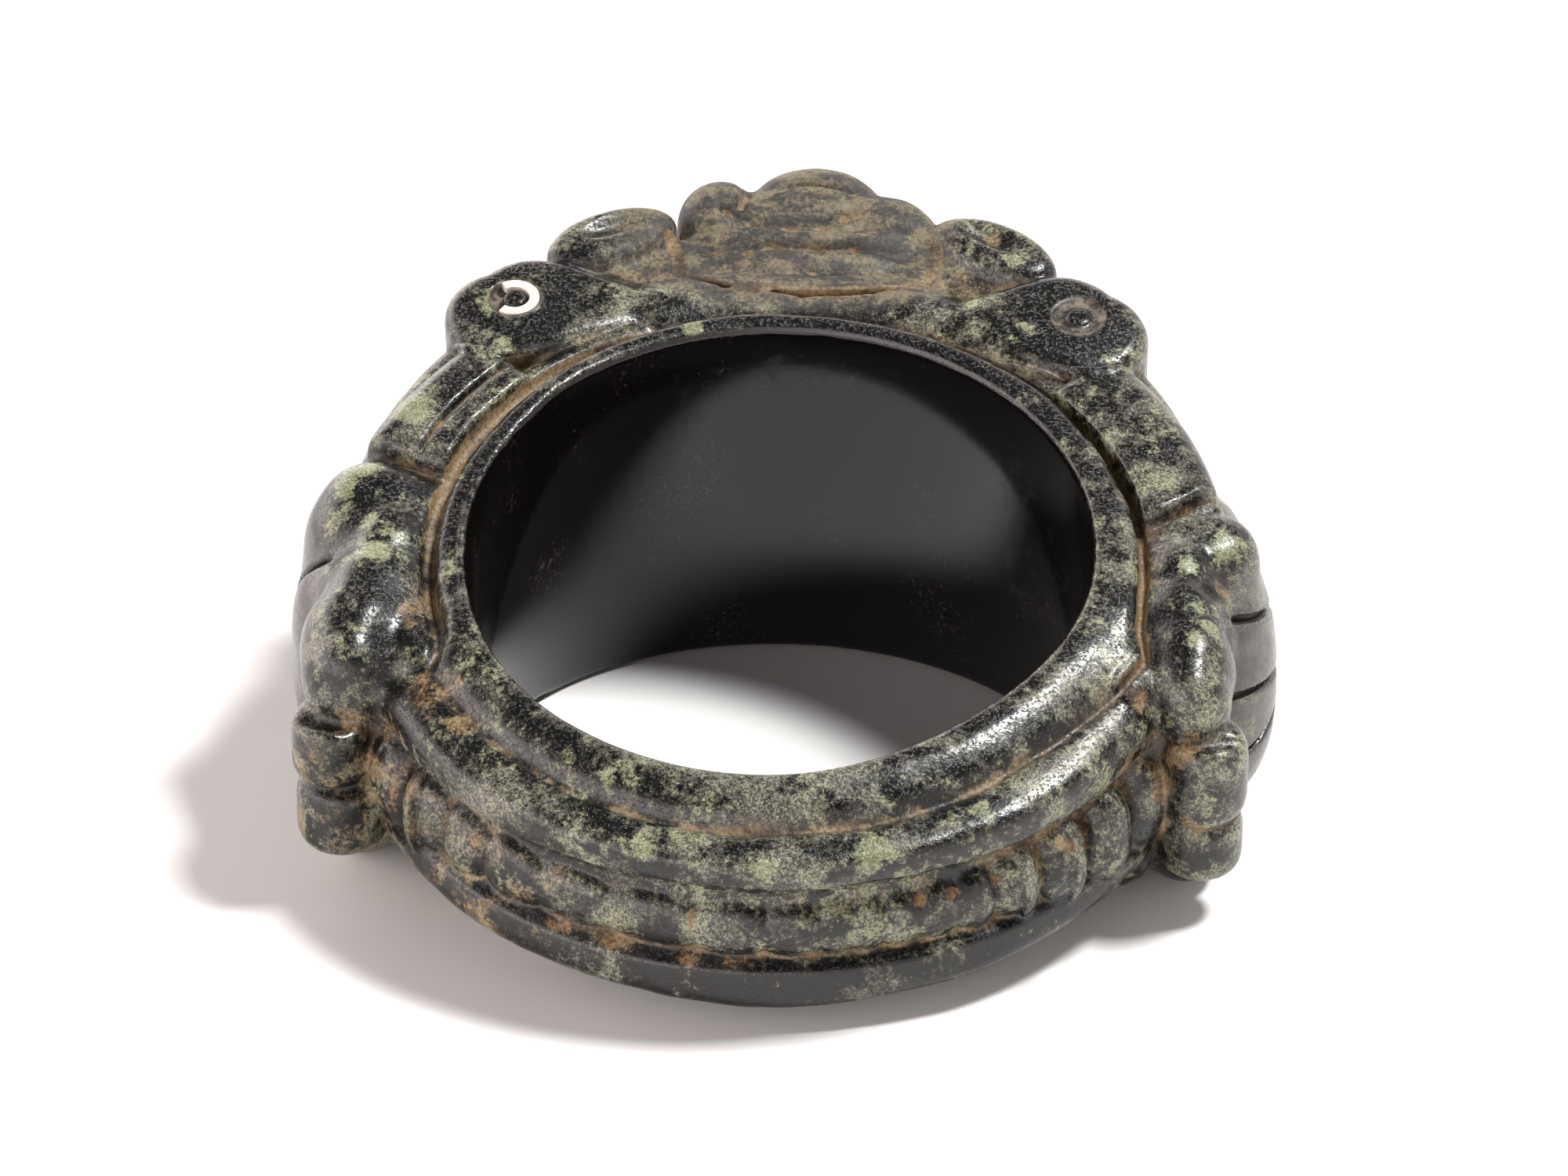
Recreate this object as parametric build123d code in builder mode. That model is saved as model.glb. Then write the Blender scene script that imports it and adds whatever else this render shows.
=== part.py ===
from build123d import *
import os
from collections import namedtuple
from math import cos, radians, sin

# A carved stone finger ring, lying on one of its two slanted faces.
# The carving of a face is modelled flat, with the face at height 0 and the hole's axis at the origin,
# then laid on the upper face and, mirrored, on the lower one. Angles run from +X, so the crown is at 90.

# Finger hole and the two faces, which spread apart from the shank to the crown
bore_radius = 10.0
axis_half_height = 5.3
face_taper = 7.0

# Stone under the carving
ground_depth = 1.15
shank_wall = 2.4
shoulder_wall = 3.9
crown_wall = 6.4
ground_edge_round = 0.7
ground_slack = 0.1

# Rim band round the hole
rim_roll_radius = 0.8
rim_set_out = 0.7

# Shank: a plain ridge along each face and a beaded ridge between them
ridge_roll_radius = 1.0
ridge_set_out = 2.1
ridge_sink = 1.7
ridge_end_angle = -22.0
rows_shift = 0.5
bead_row_radius = 0.95
bead_row_set_out = 2.35
bead_rise = 0.35
bead_end_angle = -26.0
bead_count = 17

# Shoulders: a wing panel and a foot lobe on the middle, a body, a neck and a head on each face
wing_radius = 3.3
wing_set_out = 2.75
foot_radius = 1.35
foot_set_out = 4.2
body_radius = 1.4
body_start_set_out = 3.2
body_end_set_out = 4.1
body_end_sink = 0.55
breast_radius = 2.05
breast_set_out = 3.4
neck_radius = 1.25
neck_set_out = 3.1
head_radius = 2.2
head_set_out = 4.2
beak_tip_radius = 0.4
beak_tip_set_out = 2.35
head_edge_round = 0.6
head_depth = 2.6

# Feather lines cut across and along the wing panel
feather_width = 0.24
feather_depth = 0.3

# Drilled eye: a ring groove round a standing pupil, and what is left of the inlay in it
eye_outer_radius = 0.86
eye_inner_radius = 0.44
eye_depth = 0.4
eye_set_out = 4.55
inlay_side_gap = 0.05
inlay_floor_gap = 0.04
inlay_height = 0.3
inlay_sweep = 250.0

# Crown: a low pad, a curved sill, a boss in three lobes and a hollowed bud at each side
pad_radius = 1.15
pad_set_out = 2.5
pad_sink = 0.2
sill_radius = 0.8
sill_bend_radius = 4.6
sill_set_out = 3.9
sill_half_sweep = 44.0
swell_radius = 4.3
swell_set_out = 3.3
bud_length = 4.3
bud_width = 2.3
bud_set_out = 5.9
bud_depth = 2.4
bud_edge_round = 0.55
bud_hollow_half_length = 1.2
bud_hollow_depth = 0.5
bud_hollow_lift = 0.15

# Angles where things start, end or stand, in degrees, on the right-hand side
Span = namedtuple("Span", "start end")
wing_span = Span(1.0, 15.0)
foot_span = Span(-22.0, -14.0)
body_span = Span(-16.0, 5.0)
neck_span = Span(15.0, 37.0)
pad_span = Span(74.0, 106.0)
swell_span = Span(72.0, 108.0)
breast_angle = 9.0
head_angle = 49.5
eye_angle = 51.0
beak_tip_angle = 68.5
bud_angle = 68.0
bud_heading = -33.0
feather_angles = (9.0, -1.0)

# Lobes of the boss: x and y in shares of the crown's reach over the hole, sizes in shares of the boss
boss_reach = 7.1
boss_half_width = 3.9
Lobe = namedtuple("Lobe", "name across out half_length half_width heading")
boss_lobes = (
    Lobe("body", 0.05, 0.84, 0.95, 0.53, 0.0),
    Lobe("left ear", -0.56, 0.93, 0.42, 0.40, 20.0),
    Lobe("crest", 0.28, 1.02, 0.58, 0.38, -6.0),
    Lobe("right slope", 0.74, 0.84, 0.40, 0.34, -25.0),
)

upper_face = Plane(
    origin=(0, 0, axis_half_height),
    x_dir=(1, 0, 0),
    z_dir=(0, -sin(radians(face_taper)), cos(radians(face_taper))),
)
lower_face = Plane(
    origin=(0, 0, -axis_half_height),
    x_dir=(1, 0, 0),
    z_dir=(0, -sin(radians(face_taper)), -cos(radians(face_taper))),
)
rest_turn = Rot(face_taper, 0, 0)
stone_reach = bore_radius + max(crown_wall, boss_reach) + boss_half_width


def spot(set_out, angle):
    """The point that lies set_out beyond the hole's wall, at an angle."""
    reach = bore_radius + set_out
    return (reach * cos(radians(angle)), reach * sin(radians(angle)))


def bent_roll(reach, roll_radius, span, height=0.0):
    """A round roll bent along an arc about the origin, with round ends."""
    with BuildPart() as roll:
        start = radians(span.start)
        with BuildSketch(Plane((0, 0, height), (cos(start), sin(start), 0), (sin(start), -cos(start), 0))):
            with Locations((reach, 0)):
                Circle(roll_radius)
        revolve(axis=Axis.Z, revolution_arc=span.end - span.start)
        for angle in span:
            with Locations((reach * cos(radians(angle)), reach * sin(radians(angle)), height)):
                Sphere(roll_radius)
    return roll.part


def straight_roll(start, end, roll_radius):
    """A straight round roll between two points, with round ends."""
    run = Vector(*end) - Vector(*start)
    with BuildPart() as roll:
        with BuildSketch(Plane(start, z_dir=run)):
            Circle(roll_radius)
        extrude(amount=run.length)
        with Locations(start, end):
            Sphere(roll_radius)
    return roll.part


def spheroid(half_length, half_width, centre, heading):
    """A rounded lobe, longest along its heading in the plan."""
    with BuildPart() as lobe:
        with BuildSketch(Plane.XY) as half:
            with BuildLine():
                EllipticalCenterArc((0, 0), half_length, half_width, start_angle=0, arc_size=180)
                Line((-half_length, 0), (half_length, 0))
            make_face()
        revolve(axis=Axis.X)
    return Pos(*centre) * Rot(0, 0, heading) * lobe.part


def head():
    """A flat-topped bird's head that narrows to its beak, with the drilled ring of its eye."""
    with BuildPart() as bird_head:
        with BuildSketch(Plane.XY.offset(-head_depth)):
            with Locations(spot(head_set_out, head_angle)):
                Circle(head_radius)
            with Locations(spot(beak_tip_set_out, beak_tip_angle)):
                Circle(beak_tip_radius)
            make_hull()
        extrude(amount=head_depth)
        fillet(bird_head.edges().group_by(Axis.Z)[-1], head_edge_round)
        with BuildSketch(Plane.XY):
            with Locations(spot(eye_set_out, eye_angle)):
                Circle(eye_outer_radius)
                Circle(eye_inner_radius, mode=Mode.SUBTRACT)
        extrude(amount=-eye_depth, mode=Mode.SUBTRACT)
    return bird_head.part


def bud():
    """An almond-shaped bud with a thick rim round its hollow."""
    middle = spot(bud_set_out, bud_angle)
    with BuildPart() as almond:
        with BuildSketch(Plane.XY.offset(-bud_depth)):
            with Locations(Location((*middle, 0), (0, 0, bud_heading))):
                Ellipse(bud_length / 2, bud_width / 2)
        extrude(amount=bud_depth)
        fillet(almond.edges().group_by(Axis.Z)[-1], bud_edge_round)
    hollow_half_width = bud_hollow_depth + bud_hollow_lift
    hollow = spheroid(bud_hollow_half_length, hollow_half_width, (*middle, bud_hollow_lift), bud_heading)
    return almond.part - hollow


def shoulder_carving():
    """What one face shows on the right-hand shoulder: body, breast, neck, head and bud."""
    breast_centre = (*spot(breast_set_out, breast_angle), -breast_radius)
    return [
        straight_roll(
            (*spot(body_end_set_out, body_span.start), -body_radius - body_end_sink),
            (*spot(body_start_set_out, body_span.end), -body_radius),
            body_radius,
        ),
        spheroid(breast_radius * 1.35, breast_radius, breast_centre, 90 + breast_angle),
        bent_roll(bore_radius + neck_set_out, neck_radius, neck_span, -neck_radius),
        head(),
        bud(),
    ]


def crown_carving():
    """The pad, the curved sill and the lobes of the boss at the top of one face."""
    sill_centre = bore_radius + sill_set_out + sill_bend_radius
    sill = bent_roll(
        sill_bend_radius, sill_radius, Span(-90 - sill_half_sweep, -90 + sill_half_sweep), -sill_radius
    )
    pieces = [
        bent_roll(bore_radius + pad_set_out, pad_radius, pad_span, -pad_radius - pad_sink),
        Pos(0, sill_centre, 0) * sill,
    ]
    for lobe in boss_lobes:
        half_width = lobe.half_width * boss_half_width
        centre = (lobe.across * boss_half_width, bore_radius + lobe.out * boss_reach, -half_width)
        pieces.append(spheroid(lobe.half_length * boss_half_width, half_width, centre, lobe.heading))
    return pieces


def face_carving():
    """Everything that is raised on one face, modelled flat."""
    right_side = shoulder_carving()
    left_side = [piece.mirror(Plane.YZ) for piece in right_side]
    shank_span = Span(-180 - ridge_end_angle, ridge_end_angle)
    ridge_bend = bore_radius + ridge_set_out + rows_shift
    ridge = Pos(0, rows_shift, 0) * bent_roll(ridge_bend, ridge_roll_radius, shank_span, -ridge_sink)
    with BuildPart() as carving:
        with Locations((0, 0, -rim_roll_radius)):
            Torus(bore_radius + rim_set_out, rim_roll_radius)
        add([ridge, *right_side, *left_side, *crown_carving()])
    return carving.part


def slab(half_across, half_out, middle_out):
    """A smooth oval of plain stone between the grounds of the two faces, with rounded edges."""
    with BuildPart() as oval:
        with BuildSketch(Plane.XY.offset(-stone_reach)):
            with Locations((0, middle_out)):
                Ellipse(half_across, half_out)
        extrude(amount=2 * stone_reach)
        split(bisect_by=upper_face.offset(-ground_depth), keep=Keep.BOTTOM)
        split(bisect_by=lower_face.offset(-ground_depth), keep=Keep.BOTTOM)
        flat_faces = oval.faces().filter_by(GeomType.PLANE)
        fillet(flat_faces.edges(), ground_edge_round)
    return oval.part


def ground():
    """The plain stone under the carving: a round shank and a wider, deeper crown."""
    shank_reach = bore_radius + shank_wall
    crown_half_out = bore_radius + shoulder_wall
    crown_middle = bore_radius + crown_wall - crown_half_out
    shank_slab = slab(shank_reach + ground_slack, shank_reach, 0)
    return [shank_slab, slab(bore_radius + shoulder_wall, crown_half_out, crown_middle)]


def wing():
    """A wing panel on the middle of the right-hand shoulder, with its feather lines cut in."""
    roll_reach = bore_radius + wing_set_out
    with BuildPart() as panel:
        add(bent_roll(roll_reach, wing_radius, wing_span))
        for angle in feather_angles:
            turn = radians(angle)
            across = Plane(
                (roll_reach * cos(turn), roll_reach * sin(turn), 0),
                (cos(turn), sin(turn), 0),
                (-sin(turn), cos(turn), 0),
            )
            with BuildSketch(across):
                Circle(wing_radius + feather_depth)
                Circle(wing_radius - feather_depth, mode=Mode.SUBTRACT)
            extrude(amount=feather_width / 2, both=True, mode=Mode.SUBTRACT)
    line_span = Span(min(feather_angles), max(feather_angles))
    return panel.part - bent_roll(roll_reach + wing_radius, feather_width / 2, line_span)


def bead_row():
    """The middle ridge of the shank, with beads that stand out most towards its two ends."""
    row_bend = bore_radius + bead_row_set_out + rows_shift
    row_span = Span(-180 - bead_end_angle, bead_end_angle)
    pieces = [bent_roll(row_bend, bead_row_radius, row_span)]
    for index in range(bead_count):
        along = index / (bead_count - 1)
        bead_radius = bead_row_radius + bead_rise * (0.3 + 0.7 * (2 * along - 1) ** 2)
        angle = row_span.start + (row_span.end - row_span.start) * along
        centre = (row_bend * cos(radians(angle)), row_bend * sin(radians(angle)), 0)
        pieces.append(Pos(*centre) * Rot(0, 0, angle) * Rot(90, 0, 0) * Sphere(bead_radius))
    with BuildPart() as row:
        add(pieces)
    return Pos(0, rows_shift, 0) * row.part


def middle_carving():
    """What stands out of the ring's outer wall, between the two faces."""
    right_side = [wing(), bent_roll(bore_radius + foot_set_out, foot_radius, foot_span)]
    left_side = [piece.mirror(Plane.YZ) for piece in right_side]
    crown_swell = bent_roll(bore_radius + swell_set_out, swell_radius, swell_span)
    return [*right_side, *left_side, crown_swell, bead_row()]


def inlay():
    """What is left of the inlay: an arc in the drilled ring of the left-hand eye, open to the left."""
    floor = inlay_floor_gap - eye_depth
    across, out = spot(eye_set_out, eye_angle)
    with BuildPart() as arc:
        with BuildSketch(Plane((-across, out, floor))):
            Circle(eye_outer_radius - inlay_side_gap)
            Circle(eye_inner_radius + inlay_side_gap, mode=Mode.SUBTRACT)
            with BuildLine():
                gap_half = radians(180 - inlay_sweep / 2)
                far = 2 * eye_outer_radius
                Polyline(
                    (0, 0),
                    (-far * cos(gap_half), far * sin(gap_half)),
                    (-far * cos(gap_half), -far * sin(gap_half)),
                    close=True,
                )
            make_face(mode=Mode.SUBTRACT)
        extrude(amount=inlay_height)
    return arc.part


upper_carving = upper_face.location * face_carving()
lower_carving = upper_carving.mirror(Plane.XY)

with BuildPart() as ring_body:
    add([*ground(), upper_carving, lower_carving, *middle_carving()])
    Cylinder(bore_radius, 2 * stone_reach, mode=Mode.SUBTRACT)

with BuildPart() as eye_inlay:
    add(upper_face.location * inlay())

os.makedirs("parts", exist_ok=True)
ring_body.part = rest_turn * ring_body.part
ring_body.part.label = "ring_body"
export_step(ring_body.part, "parts/ring_body.step")
eye_inlay.part = rest_turn * eye_inlay.part
eye_inlay.part.label = "eye_inlay"
export_step(eye_inlay.part, "parts/eye_inlay.step")
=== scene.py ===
import math
from collections import namedtuple

import bpy
import numpy as np
from mathutils import Matrix, Vector


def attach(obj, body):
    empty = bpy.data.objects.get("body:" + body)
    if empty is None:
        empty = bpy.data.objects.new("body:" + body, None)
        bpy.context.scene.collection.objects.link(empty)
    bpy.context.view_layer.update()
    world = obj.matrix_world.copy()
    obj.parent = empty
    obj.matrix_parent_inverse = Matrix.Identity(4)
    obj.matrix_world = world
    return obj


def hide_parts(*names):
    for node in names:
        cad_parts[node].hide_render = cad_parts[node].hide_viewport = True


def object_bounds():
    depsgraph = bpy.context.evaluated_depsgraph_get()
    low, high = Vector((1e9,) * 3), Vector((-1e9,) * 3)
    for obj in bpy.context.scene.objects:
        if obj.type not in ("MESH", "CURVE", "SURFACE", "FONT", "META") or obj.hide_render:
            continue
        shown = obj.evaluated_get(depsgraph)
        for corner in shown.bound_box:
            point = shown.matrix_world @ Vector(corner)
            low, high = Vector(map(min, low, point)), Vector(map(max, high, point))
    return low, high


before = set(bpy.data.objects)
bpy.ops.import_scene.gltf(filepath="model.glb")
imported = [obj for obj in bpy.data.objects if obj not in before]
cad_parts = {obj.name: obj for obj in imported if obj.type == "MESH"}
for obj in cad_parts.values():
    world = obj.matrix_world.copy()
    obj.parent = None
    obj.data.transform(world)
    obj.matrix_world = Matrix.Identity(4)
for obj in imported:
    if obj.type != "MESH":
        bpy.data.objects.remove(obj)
cad_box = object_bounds()

# The ring is carved in millimetres in its own frame: the hole's axis is Z, the crown is towards +Y
# and the two faces slant apart from the shank to the crown. It is then turned on X by the faces'
# slant, so that the lower face lies on the floor, and scaled to metres.
MM = 0.001
SLANT = math.radians(7.0)
HALF_HEIGHT = 5.3
BORE = 10.0
REST = Matrix.Rotation(SLANT, 4, "X")

# The grid that it is carved on, and the furthest distance that a grid point holds at first
GRID_STEP = 0.11
GRID_LOW = (-16.7, -13.9)
GRID_HIGH = (16.7, 20.0)
GRID_TOP = 8.3
FAR = 4.0
REACH_OF_BLEND = 0.7
MOST_TRIANGLES = 196000

COS, SIN = math.cos(SLANT), math.sin(SLANT)
Shape = namedtuple("Shape", "low high distance")


def smooth_least(a, b, blend):
    """The lesser of two distances, rounded where they meet."""
    near = np.maximum(blend - np.abs(a - b), 0.0)
    return np.minimum(a, b) - near * near * (0.25 / blend)


def smooth_most(a, b, blend):
    """The greater of two distances, rounded where they meet."""
    return -smooth_least(-a, -b, blend)


def table(kind, rows):
    """Rows of numbers under the names of their columns."""
    return [kind(*row) for row in rows]


def at_angle(reach, angle, centre=(0.0, 0.0)):
    """The point at a distance and an angle in degrees from a centre."""
    turn = math.radians(angle)
    return (centre[0] + reach * math.cos(turn), centre[1] + reach * math.sin(turn))


def bearing(x, y):
    """Angle round the hole's axis, in degrees."""
    return np.degrees(np.arctan2(y, x + 0 * y))


def on_face(x, y, z):
    """Places in the frame of the upper face: across, out and height over the face."""
    over = z - HALF_HEIGHT
    return x, y * COS + over * SIN, over * COS - y * SIN


def off_face(u, v, w):
    """A place of the upper face's frame, in the ring's frame."""
    return (u, v * COS - w * SIN, HALF_HEIGHT + v * SIN + w * COS)


def over_faces(y, z):
    """Height over the nearer face."""
    return np.abs(z) * COS - y * SIN - HALF_HEIGHT * COS


def shape_round(points, radius, distance, facing=True):
    """A shape that lies within a radius of some points, in the upper face's frame or in the ring's."""
    turned = np.array([off_face(*p) if facing else p for p in points], float)

    def from_ring(x, y, z):
        return distance(*on_face(x, y, z))

    return Shape(turned.min(0) - radius, turned.max(0) + radius, from_ring if facing else distance)


def bent_roll(reach, radius, span, height=0.0, centre=(0.0, 0.0), facing=True, flat=1.0, power=2.0):
    """A roll along an arc. More power makes it boxier."""
    line = [(*at_angle(reach, angle, centre), height) for angle in np.linspace(*span, 24)]
    middle = math.radians((span[0] + span[1]) / 2)
    half = math.radians(abs(span[1] - span[0]) / 2)

    def distance(u, v, w):
        du, dv = u - centre[0], v - centre[1]
        off = np.arctan2(dv, du) - middle
        off = (off + math.pi) % (2 * math.pi) - math.pi
        angle = middle + np.clip(off, -half, half)
        out = np.hypot(du - reach * np.cos(angle), dv - reach * np.sin(angle))
        return (out**power + (np.abs(w - height) / flat) ** power) ** (1 / power) - radius

    return shape_round(line, radius * max(1, flat), distance, facing)


def straight_roll(start, end, radii, facing=True, flat=1.0):
    """A straight roll between two places, with a radius at each."""
    a = np.array(start, float)
    run = np.array(end, float) - a
    length = run @ run

    def distance(u, v, w):
        pu, pv, pw = u - a[0], v - a[1], w - a[2]
        along = np.clip((pu * run[0] + pv * run[1] + pw * run[2]) / length, 0, 1)
        off = (pu - along * run[0]) ** 2 + (pv - along * run[1]) ** 2 + ((pw - along * run[2]) / flat) ** 2
        return np.sqrt(off) - (radii[0] + (radii[1] - radii[0]) * along)

    return shape_round([start, end], max(radii), distance, facing)


def lobe(centre, halves, heading=0.0, facing=True, power=2.0):
    """A rounded lobe: its half sizes along its heading, across it and up. More power makes it boxier."""
    turn = math.radians(heading)
    c, s = math.cos(turn), math.sin(turn)

    def distance(u, v, w):
        pu, pv, pw = u - centre[0], v - centre[1], w - centre[2]
        along, across = pu * c + pv * s, pv * c - pu * s
        flat = np.sqrt((along / halves[0]) ** 2 + (across / halves[1]) ** 2) + 1e-4
        tall = np.abs(pw) / halves[2] + 1e-4
        share = (flat**power + tall**power) ** (1 / power)
        flat_slope = np.sqrt((along / halves[0] ** 2) ** 2 + (across / halves[1] ** 2) ** 2) / flat
        by_flat, by_tall = (flat / share) ** (power - 1), (tall / share) ** (power - 1)
        slope = np.sqrt((by_flat * flat_slope) ** 2 + (by_tall / halves[2]) ** 2)
        return (share - 1) / np.maximum(slope, 0.05)

    return shape_round([centre], max(halves), distance, facing)


def lifted(outline, box, top, depth, edge, dome=None):
    """A flat form with a rounded upper edge. outline, box and dome are in the face's plane."""
    (west, south), (east, north) = box
    corners = [(u, v, w) for u in (west, east) for v in (south, north) for w in (top, top - depth)]

    def distance(u, v, w):
        side = outline(u, v) + edge
        rise = w - top + edge
        if dome is not None:
            rise = rise + dome(u, v)
        inner = np.minimum(np.maximum(side, rise), 0)
        outer = np.sqrt(np.maximum(side, 0) ** 2 + np.maximum(rise, 0) ** 2)
        return np.maximum(inner + outer - edge, top - depth - w)

    return shape_round(corners, 0.1, distance)


class Stone:
    """Distances to the stone's surface, in millimetres, at the points of a grid."""

    def __init__(self, axes, values):
        self.axes, self.values = axes, values

    def join(self, shape, blend, sign=1):
        """The stone with a shape added, rounded where they meet."""
        parts = []
        for axis, lo, hi in zip(self.axes, shape.low, shape.high):
            parts.append(slice(*np.searchsorted(axis, (lo - REACH_OF_BLEND, hi + REACH_OF_BLEND))))
        place = np.ix_(*(axis[part] for axis, part in zip(self.axes, parts)))
        if min(n.size for n in place):
            old = sign * self.values[tuple(parts)]
            self.values[tuple(parts)] = sign * smooth_least(old, shape.distance(*place), blend)

    def cut(self, shape, blend):
        self.join(shape, blend, -1)

    def mirrored(self):
        """The whole grid, from the half with z over 0."""
        x, y, z = self.axes
        values = np.concatenate([self.values[:, :, ::-1], self.values], axis=2)
        return Stone([x, y, np.concatenate([-z[::-1], z])], values)

    def flipped(self):
        """The grid with its left and right exchanged. It shares this one's values."""
        x, y, z = self.axes
        return Stone([-x[::-1], y, z], self.values[::-1])

    def half(self, lower):
        """The half of the grid with z over 0, or the other one turned over. It shares this one's values."""
        x, y, z = self.axes
        middle = len(z) // 2
        values = self.values[:, :, :middle][:, :, ::-1] if lower else self.values[:, :, middle:]
        return Stone([x, y, z[middle:]], values)

    def origin(self):
        return np.array([axis[0] for axis in self.axes], float)


def noise(axes, size, seed):
    """Smooth noise, about -1 to 1, over a grid, with lumps of that size in millimetres."""
    lattice_sizes = [int((a[-1] - a[0]) / size) + 5 for a in axes]
    lattice = np.random.RandomState(seed).uniform(-1, 1, lattice_sizes).astype(np.float32)
    for axis_number, axis in enumerate(axes):
        spots = (axis - axis[0]) / size + 1
        first = np.floor(spots).astype(int)
        t = spots - first
        weights = np.zeros((len(axis), lattice.shape[axis_number]), np.float32)
        rows = np.arange(len(axis))
        for offset, w in (
            (-1, (1 - t) ** 3 / 6),
            (0, (3 * t**3 - 6 * t**2 + 4) / 6),
            (1, (-3 * t**3 + 3 * t**2 + 3 * t + 1) / 6),
            (2, t**3 / 6),
        ):
            weights[rows, first + offset] += w
        lattice = np.moveaxis(np.tensordot(weights, lattice, (1, axis_number)), 0, axis_number)
    return lattice * 1.9


# The band round the hole, by angle: its outer radius, and the width and depth of the groove outside it.
# It is narrow at the crown and broad at the shank.
Rim = namedtuple("Rim", "angle outer groove depth")
RIM = table(Rim, (
    (-180, 10.8, 0.45, 0.85), (-162, 10.8, 0.42, 0.85), (-157, 11.1, 0.4, 0.8), (-153, 11.8, 0.3, 0.95),
    (-143, 11.6, 0.25, 1.0), (-45, 11.55, 0.22, 1.05), (-31, 11.75, 0.25, 1.1), (-22, 12.1, 0.25, 1.1),
    (-17, 12.3, 0.25, 1.0), (-12, 11.8, 0.25, 0.9), (-6, 11.6, 0.25, 0.85), (8, 11.5, 0.28, 0.9),
    (20, 11.4, 0.34, 1.4), (28, 11.3, 0.36, 1.6), (44, 11.25, 0.3, 1.3), (54, 11.15, 0.25, 0.9),
    (90, 11.1, 0.2, 0.6), (118, 11.0, 0.3, 0.7), (130, 10.95, 0.45, 0.8), (157, 10.85, 0.55, 0.85),
    (170, 10.8, 0.5, 0.85), (180, 10.8, 0.45, 0.85),
))

# Beads of the shank's middle ridge: angle of the notch that ends each one, and how deep that notch is
Bead = namedtuple("Bead", "notch depth")
ROWS_SHIFT = 0.5
BEADS = table(Bead, (
    (-158.0, 1.0), (-147.5, 0.95), (-139.0, 0.6), (-131.0, 0.55), (-121.0, 0.42), (-110.5, 0.38),
    (-98.0, 0.38), (-88.0, 0.38), (-81.0, 0.32), (-76.5, 0.28), (-72.0, 0.3), (-67.0, 0.32),
    (-61.5, 0.38), (-55.5, 0.55), (-48.2, 0.8), (-39.8, 1.0), (-30.5, 1.0), (-21.0, 1.0),
))
ROW_MIDDLE = -0.25
ROW_REACH = 12.55
ROW_HALF = (1.2, 1.08)


def bead_profile(degrees):
    """Dome across each bead, from 0 at its notches to 1, and how deep the nearest notch is."""
    edges, depths = np.array(BEADS).T
    at = np.clip(np.searchsorted(edges, degrees), 1, len(edges) - 1)
    start, end = edges[at - 1], edges[at]
    share = np.clip((degrees - start) / (end - start), 0, 1)
    dome = np.sqrt(np.maximum(1 - (share * 2 - 1) ** 2, 0))
    depth = np.where(share < 0.5, depths[at - 1], depths[at])
    inside = (degrees > edges[0]) & (degrees < edges[-1])
    return np.where(inside, dome, 0).astype(np.float32), depth.astype(np.float32)


def bead_row():
    """The middle ridge of the shank. Its end beads are cut all round, the others along its top and bottom."""
    span = (-157.0, -21.5)
    low, high = np.array([-15.0, -14.3, -2.6]), np.array([15.0, 0.5, 2.2])

    def distance(x, y, z):
        dv = y - ROWS_SHIFT
        degrees = bearing(x, dv)
        off = np.radians(np.maximum(np.maximum(span[0] - degrees, degrees - span[1]), 0))
        reach = np.hypot(x, dv)
        out = np.maximum(reach - ROW_REACH + 0.35, 0.35 * (ROW_REACH - 0.35 - reach))
        rise = z - ROW_MIDDLE
        across = np.sqrt(out**2 + (off * reach) ** 2)
        taller = 1 + 0.32 * np.clip((np.abs(degrees + 90) - 25) / 45, 0, 1)
        a, b = across / ROW_HALF[0], np.abs(rise) / (ROW_HALF[1] * taller)
        share = (a**2.6 + b**2.6) ** (1 / 2.6)
        dome, depth = bead_profile(degrees)
        shallow = np.clip((0.62 - depth) / 0.3, 0, 1)
        top = np.clip((b - 0.35) / 0.4, 0, 1)
        cut = depth * (1 - dome) * (1 - shallow * (1 - top)) * np.where(rise > 0, 1, 0.7)
        bulge = 0.14 + 0.7 * np.clip(depth - 0.45, 0, 1)
        return (share - 1) * 1.1 + 0.62 * cut - bulge * dome * depth

    return Shape(low, high, distance)


# The plain ridges beside it: heights and radii of their walls' upper and lower edges, the undercut's slope,
# and whether a ridge belongs to the upper face
Ridge = namedtuple("Ridge", "top_edge lower_edge outer_top outer_low under upward")
RIDGES = Ridge(2.62, 1.76, 13.22, 13.08, 0.62, True), Ridge(2.85, 1.5, 13.3, 13.12, 0.5, False)


def shank_ridge(top_edge, lower_edge, outer_top, outer_low, under, upward):
    """One plain ridge along the shank: a sloping top beside the rim, a steep wall, and an undercut."""
    sign = 1 if upward else -1
    low, high = np.array([-14.5, -14.0, -5.5]), np.array([14.5, -0.8, 5.5])
    span = (-166.0, -14.0)

    def distance(x, y, z):
        rise = sign * z
        degrees = bearing(x, y)
        reach = np.hypot(x, y)
        rim = rim_sizes(x, y)[0]
        middle = np.clip(1 - np.abs(degrees + 90) / 62, 0, 1)
        edge_z = top_edge + (0.3 if upward else -0.55) * (1 - middle)
        rim_z = HALF_HEIGHT + y * math.tan(SLANT) - 0.92
        along = np.clip((reach - rim) / (outer_top - rim), -0.5, 1.5)
        bulge = 0.18 * np.clip(along * (1 - along) * 4, 0, 1)
        top = (rise - rim_z - (edge_z - rim_z) * along - bulge) * 0.93
        lean = (outer_low - outer_top) / (edge_z - lower_edge)
        wall = reach - outer_top - lean * (edge_z - rise)
        down = lower_edge - rise
        below = down * 0.8 + (reach - outer_low) * under
        ends = np.maximum(span[0] - degrees, degrees - span[1]) * reach * math.radians(1)
        side = smooth_most(wall, ends + 0 * wall, 0.8)
        body = smooth_most(top, side, 0.42)
        return smooth_most(body, below, 0.12)

    return Shape(low, high, distance)


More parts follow.
